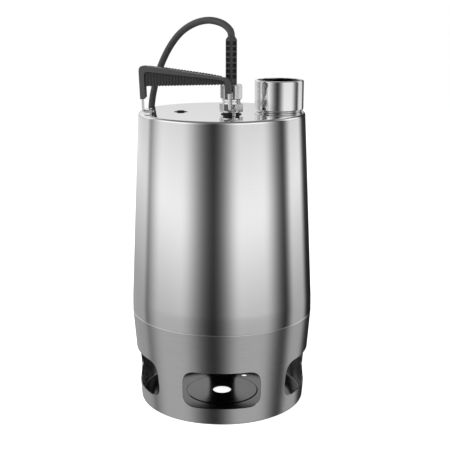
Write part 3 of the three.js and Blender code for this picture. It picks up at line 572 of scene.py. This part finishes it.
def cable_boot():
    """A sleeve of rubber with four columns of cells sunk into it, which leave a spine on each side."""
    sides = 96
    rows = 230
    spine_half = 15
    rib_half = 1.15
    soft = 0.4
    bm = bmesh.new()
    rings = []
    for row in range(rows + 1):
        z = BOOT["low"] + (BOOT["top"] - BOOT["low"]) * row / rows
        radius = BOOT["radius"] - 1.7 * soft_step(z, BOOT["top"] - 3.5, BOOT["top"])
        cell = (z - BOOT["first"]) / BOOT["pitch"]
        from_rib = abs(cell - round(cell)) * BOOT["pitch"]
        in_cells = 0 < cell < BOOT["cells"]
        sunk = soft_step(from_rib, rib_half - soft / 2, rib_half + soft / 2) if in_cells else 0
        ring = []
        for k in range(sides):
            degrees = 360 * k / sides
            from_spine = abs(degrees % 90 - 90 * round(degrees % 90 / 90))
            depth = BOOT["depth"] * sunk * soft_step(from_spine, spine_half - 2, spine_half + 3)
            angle = math.radians(degrees)
            reach = radius - depth
            x = GLAND[0] + reach * math.cos(angle)
            y = GLAND[1] + reach * math.sin(angle)
            ring.append(bm.verts.new((x, y, z)))
        rings.append(ring)
    for here, there in zip(rings, rings[1:]):
        for k in range(sides):
            m = (k + 1) % sides
            bm.faces.new((here[k], here[m], there[m], there[k]))
    bm.faces.new(rings[0])
    bm.faces.new(rings[-1])
    boot = smooth(make_object("boot", bm), 50)
    boot.data.materials.append(MATERIALS["boot"])
    # The sunk cells take the near-black rubber, painted shade in the recesses.
    boot.data.materials.append(MATERIALS["near_black_and_painted_shade"])
    for face in boot.data.polygons:
        reach = math.hypot(face.center.x / MM - GLAND[0], face.center.y / MM - GLAND[1])
        inside = BOOT["first"] < face.center.z / MM < BOOT["first"] + BOOT["cells"] * BOOT["pitch"]
        face.material_index = int(inside and reach < BOOT["radius"] - 0.3 * BOOT["depth"])
    return boot


def vent_screw():
    top = COVER_TOP
    screw = lathe("vent_plug", [
        (0, 340), (5.1, 340), (5.1, top + 0.1), (7.9, top + 0.1, 0.1), (4.9, top + 0.5, 0.5),
        (4.4, top + 1.3, 0.5), (3, top + 1.3, 0.3), (2.8, top - 1.2, 0.3), (0, top - 1.2),
    ], 48, VENT)
    return smooth(combine(screw, hexagon("key", 2.4, 343, 347, VENT, 0)))


# ---- Handle, drawn in the upright plane through both hinge eyes ----
hinge = next(joint for joint in frame["joints"] if joint["name"] == "handle_tilt")
HINGE_SPAN = 98
WIRE_RADIUS = 1.5
EYE = dict(radius=3.4, hole=1.9, thickness=2.4)
GRIP_TEETH = 26
GRIP_KNOBS = 20
FIRST_KNOB = 14
GRIP_TOP = 50.9
GRIP_FALL = 0.158  # how much lower the grip's top is for each millimetre to the right
DECK_REAR = 15.5
TAPER_FROM = 66  # from here to the right the deck gets narrower
TAPER_SLOPE = 0.36


def handle_place():
    """Millimetres along the hinge, backward and upward, to the pump's own millimetres."""
    along = Vector(hinge["axis"]).normalized()
    back = Vector((0, 0, 1)).cross(along).normalized()
    up = along.cross(back)
    turn = Matrix((along, back, up)).transposed().to_4x4()
    return Matrix.Translation(Vector(hinge["pos_m"]) / MM) @ turn


HANDLE = handle_place()
# From the plane an outline is drawn in to the handle's front.
FACE = Matrix(((1, 0, 0, 0), (0, 0, -1, 0), (0, 1, 0, 0), (0, 0, 0, 1)))


def in_handle(name, outline, front, back):
    """An outline drawn along and up in the handle's plane, from front to back."""
    return prism(name, outline, back - front, HANDLE @ Matrix.Translation((0, back, 0)) @ FACE)


def band_outline():
    """The grip's border: left leg with its stepped end, sloping top and right leg."""
    return filleted([
        (-9.7, 14.1, 0.8), (-5.6, 14.1, 0.5), (-5.6, 15.9, 0.4), (-3.9, 15.9, 0.5), (-3.7, 43, 3),
        (-1, 44.7, 2.5), (84, 33.8, 4), (89.9, 31.6, 3.5), (90.2, 18.4, 0.6), (95.2, 18.4, 0.8),
        (95.2, 35, 6.5), (-9.7, 52.3, 7.5),
    ], 8)


def joined(name, pieces):
    """One mesh object of several, whose meshes are already in metres."""
    bm = bmesh.new()
    for piece in pieces:
        bm.from_mesh(piece.data)
        bpy.data.objects.remove(piece)
    bmesh.ops.scale(bm, vec=(1 / MM,) * 3, verts=bm.verts)
    return make_object(name, bm)


def grip_top(u):
    return GRIP_TOP - GRIP_FALL * u


def handle_grip():
    band = bevel(in_handle("grip_band", band_outline(), -3.5, 4.2), 1.3, 4, 40)
    deck = in_handle("grip_deck", filleted([
        (-8.6, 46.6, 1), (90, 33, 1), (90, grip_top(90) - 1.4, 1), (-2.5, grip_top(-2.5) - 1, 2),
        (-8.6, 49.6, 2),
    ]), -1, 16)
    taper = prism("taper", [
        (TAPER_FROM, 30), (TAPER_FROM, 16.2), (82, 10.5), (120, 10.5), (120, 30),
    ], 80, HANDLE)
    combine(deck, taper)
    bevel(deck, 0.8, 2, 40)
    web = in_handle("grip_web_painted_shade", [(-4.6, 29.2), (91, 29.2), (90.8, 34), (85, 35), (-3, 46)], -1.6, 1.6)
    pitch = (90.2 + 2.6) / GRIP_TEETH
    ribs = []
    for i in range(GRIP_TEETH):
        u = -2.6 + pitch * (i + 0.5)
        top = min(grip_top(u) - 5, 45.5)
        ribs.append(in_handle("rib", filleted([
            (u - 1.1, 28.2, 0.9), (u + 1.1, 28.2, 0.9), (u + 1.1, top), (u - 1.1, top),
        ], 3), -2.1, 2.1))
    knobs = []
    for i in range(GRIP_KNOBS):
        u = FIRST_KNOB + pitch * i
        back = DECK_REAR - TAPER_SLOPE * max(0, u - TAPER_FROM)
        knobs.append(in_handle("knob", filleted([
            (u - 1.2, grip_top(u) - 3), (u + 1.2, grip_top(u) - 3.2), (u + 1.1, grip_top(u) - 0.5, 0.5),
            (u - 1.1, grip_top(u) - 0.3, 0.5),
        ], 2), back - 5, back))
    parts = band, deck, web, joined("grip_ribs", ribs), joined("grip_knobs", knobs)
    return [smooth(part) for part in parts]


def handle_bail():
    corners = [
        (5.5, 0), (-8, 0), (-8, 40), (-2, 45.5), (86, 32), (93, 27), (93, 0), (HINGE_SPAN + 2.6, 0),
    ]
    bends = [3.5, 4.3, 3.5, 4.5, 4, 3.5]
    points = [corners[0]] + [(*c, b) for c, b in zip(corners[1:], bends)] + [corners[-1]]
    line = [HANDLE @ Vector((p.x, 0, p.y)) for p in filleted(points, 8)]
    return tube("wire_bail", line, WIRE_RADIUS, 20)


def hinge_eye(name, u):
    turn = HANDLE @ Matrix.Translation((u - EYE["thickness"] / 2, 0, 0)) @ Matrix(
        ((0, 0, 1, 0), (0, 1, 0, 0), (-1, 0, 0, 0), (0, 0, 0, 1))
    )
    circle = [(math.cos(2 * math.pi * i / 48), math.sin(2 * math.pi * i / 48)) for i in range(48)]
    radius = EYE["radius"]
    thickness = EYE["thickness"]
    eye = prism(name, [(radius * x, radius * y) for x, y in circle], thickness, turn)
    half = 0.9 * radius
    stem = prism("stem", [(-0.5, -half), (12, -half), (12, half), (-0.5, half)], thickness, turn)
    combine(eye, stem, "UNION")
    hole = prism("hole", [(EYE["hole"] * x, EYE["hole"] * y) for x, y in circle], 9,
                 turn @ Matrix.Translation((0, 0, -3)))
    combine(eye, hole)
    floor = prism("below", [(-200, -200), (200, -200), (200, 200), (-200, 200)], 40,
                  Matrix.Translation((0, 0, COVER_TOP + 0.3 - 40)))
    combine(eye, floor)
    return smooth(bevel(eye, 0.3, 2, 50))


def dress(piece, finish, slot, body, *nodes):
    if not piece.data.materials:
        piece.data.materials.append(MATERIALS[finish])
    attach(piece, body)
    if nodes:
        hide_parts(*nodes)
    return piece


# ---- The assembly ----
cable_points = cable_line()
cable = dress(tube("mains_cable", cable_points, CABLE_RADIUS, 14), "rubber", "black_rubber", "pump",
              "cable_run", "cable_coil", "cable_tail")
plug_piece = dress(plug(), "plastic", "black_rubber", "pump", "plug_body")
pins = [dress(plug_pin(i + 1, side), "brass", "brass", "pump", f"plug_pin_{i + 1}")
        for i, side in enumerate((-1, 1))]
tie = dress(coil_tie(), "plastic", "dark_plastic", "pump", "coil_tie")
boot = dress(cable_boot(), "boot", "black_rubber", "pump", "cable_boot")

dress(pump_sleeve(), "sleeve", "polished_stainless", "pump", "pump_sleeve")
dress(inlet_strainer(), "satin", "satin_stainless", "pump", "inlet_strainer")
dress(discharge_socket(), "polished", "polished_stainless", "pump", "discharge_socket")
gland_hex, flange, neck, nut, gasket = gland_pieces()
dress(gland_hex, "satin", "satin_stainless", "pump", "gland_body")
dress(flange, "satin", "satin_stainless", "pump")
dress(neck, "fitting", "satin_stainless", "pump")
dress(nut, "fitting", "polished_stainless", "pump", "gland_nut")
dress(gasket, "boot", "black_rubber", "pump", "gland_gasket")
dress(vent_screw(), "near_black_and_painted_shade", "dark_plastic", "pump", "vent_screw")
for side, u in (("left", 2), ("right", HINGE_SPAN - 0.2)):
    dress(hinge_eye(f"eye_{side}", u), "fitting", "polished_stainless", "pump", f"handle_eye_{side}")
grip_parts = handle_grip()
dress(grip_parts[0], "grip", "grip_plastic", "handle", "handle_grip")
# The web, ribs and knobs take the darker plastic, painted shade in the grip's recesses.
for part, finish in zip(grip_parts[1:], ("grip", "grip_web_painted_shade", "grip_web_painted_shade", "grip_web_painted_shade")):
    dress(part, finish, "grip_plastic", "handle")
dress(handle_bail(), "fitting", "polished_stainless", "handle", "handle_bail")

CAD_FINISH = {
    "plain_steel": "steel", "cast_aluminium": "aluminium", "brass": "brass", "copper_winding": "copper",
    "black_rubber": "boot", "dark_plastic": "plastic", "seal_ceramic": "ceramic",
    "satin_stainless": "satin", "polished_stainless": "polished",
}
for part in frame["record"]["subparts"]:
    node = frame["nodes"][part["node"]]
    if not node.hide_render:
        node.data.materials.clear()
        node.data.materials.append(MATERIALS[CAD_FINISH[part["material_slot"]]])


# ---- Studio ----
# Soft boxes stand round the pump, with dark gaps between them. Each has its middle, in degrees round from the
# front and turning right, the half of its width that is evenly light, the width of its fading edge, and how
# light it looks in polished steel, from 0 to 1.
SOFT_BOXES = [
    (-150, 30, 20, 0.85),
    (-70, 15, 50, 0.95),
    (40, 15, 40, 0.95),
    (115, 10, 20, 0.9),
]
GAP_TONE = 0.2
# The boxes are brightest a little below the level of the eye: degrees of height, and a share of their tone.
HEIGHT_TONES = [(-30, 0.65), (-15, 0.7), (-8, 1), (0, 0.8), (10, 1)]
# Overhead the studio is dimmer, which draws dark lines along the rims.
CEILING = 0.42
CEILING_FROM = 30
CEILING_FULL = 48
STUDIO_STRENGTH = 1.6
TONE_POWER = 2.2  # from how light a tone looks to how much light it is


def make_world():
    world = bpy.data.worlds.new("studio")
    bpy.context.scene.world = world
    world.use_nodes = True
    nodes, links = world.node_tree.nodes, world.node_tree.links
    nodes.clear()

    def math_node(operation, first, second=None):
        node = nodes.new("ShaderNodeMath")
        node.operation = operation
        for slot, value in enumerate((first, second)):
            if isinstance(value, (int, float)):
                node.inputs[slot].default_value = value
            elif value is not None:
                links.new(value, node.inputs[slot])
        return node.outputs["Value"]

    def ease(angle, low, high, kind="LINEAR"):
        """From 0 at one angle to 1 at another, both in degrees."""
        share = nodes.new("ShaderNodeMapRange")
        share.interpolation_type = kind
        share.inputs["From Min"].default_value = math.radians(low)
        share.inputs["From Max"].default_value = math.radians(high)
        links.new(angle, share.inputs["Value"])
        return share.outputs["Result"]

    def mixed(share, first, second):
        node = nodes.new("ShaderNodeMix")
        for slot, value in zip(("Factor", "A", "B"), (share, first, second)):
            if isinstance(value, (int, float)):
                node.inputs[slot].default_value = value
            else:
                links.new(value, node.inputs[slot])
        return node.outputs["Result"]

    place = nodes.new("ShaderNodeTexCoord")
    split = nodes.new("ShaderNodeSeparateXYZ")
    links.new(place.outputs["Generated"], split.inputs["Vector"])
    around = math_node("ARCTAN2", split.outputs["X"], math_node("MULTIPLY", split.outputs["Y"], -1))
    height = math_node("ARCSINE", split.outputs["Z"])
    tone = GAP_TONE
    for middle, half_width, fade, bright in SOFT_BOXES:
        turned = math_node("ADD", around, math.radians(-middle))
        off = math_node("PINGPONG", turned, math.pi)  # how far round from the box's middle, either way
        outside = ease(off, half_width, half_width + fade, "SMOOTHSTEP")
        tone = math_node("MAXIMUM", tone, mixed(outside, bright, GAP_TONE))
    level = HEIGHT_TONES[0][1]
    for (low, _), (high, share) in zip(HEIGHT_TONES, HEIGHT_TONES[1:]):
        level = mixed(ease(height, low, high), level, share)
    tone = math_node("MULTIPLY", tone, level)
    tone = mixed(ease(height, CEILING_FROM, CEILING_FULL), tone, CEILING)
    light = math_node("MULTIPLY", math_node("POWER", tone, TONE_POWER), STUDIO_STRENGTH)

    lit = nodes.new("ShaderNodeBackground")
    links.new(light, lit.inputs["Strength"])
    seen = nodes.new("ShaderNodeBackground")
    seen.inputs["Color"].default_value = (1, 1, 1, 1)
    ray = nodes.new("ShaderNodeLightPath")
    mix = nodes.new("ShaderNodeMixShader")
    links.new(ray.outputs["Is Camera Ray"], mix.inputs["Fac"])
    links.new(lit.outputs["Background"], mix.inputs[1])
    links.new(seen.outputs["Background"], mix.inputs[2])
    output = nodes.new("ShaderNodeOutputWorld")
    links.new(mix.outputs["Shader"], output.inputs["Surface"])


def make_floor():
    half = 3000
    floor = prism("floor", [(-half, -half), (half, -half), (half, half), (-half, half)], 20,
                  Matrix.Translation((0, 0, -20.3)))
    paper = bpy.data.materials.new("white_paper")
    paper.use_nodes = True
    shader = paper.node_tree.nodes["Principled BSDF"]
    shader.inputs["Base Color"].default_value = (0.9, 0.9, 0.9, 1)
    shader.inputs["Roughness"].default_value = 0.9
    shader.inputs["Emission Color"].default_value = (1, 1, 1, 1)
    shader.inputs["Emission Strength"].default_value = 0.9
    floor.data.materials.append(paper)
    floor.visible_glossy = False


def make_light(name, place, target, size, power):
    data = bpy.data.lights.new(name, "AREA")
    data.shape = "RECTANGLE"
    data.size, data.size_y = size
    data.energy = power
    light = bpy.data.objects.new(name, data)
    light.location = Vector(place) * MM
    light.rotation_euler = (Vector(target) - Vector(place)).to_track_quat("-Z", "Y").to_euler()
    light.visible_glossy = False
    bpy.context.scene.collection.objects.link(light)


make_world()
make_floor()
make_light("top_light", (-500, -500, 1500), (0, 0, 300), (0.9, 0.9), 14)
bpy.context.scene.view_settings.view_transform = "Standard"
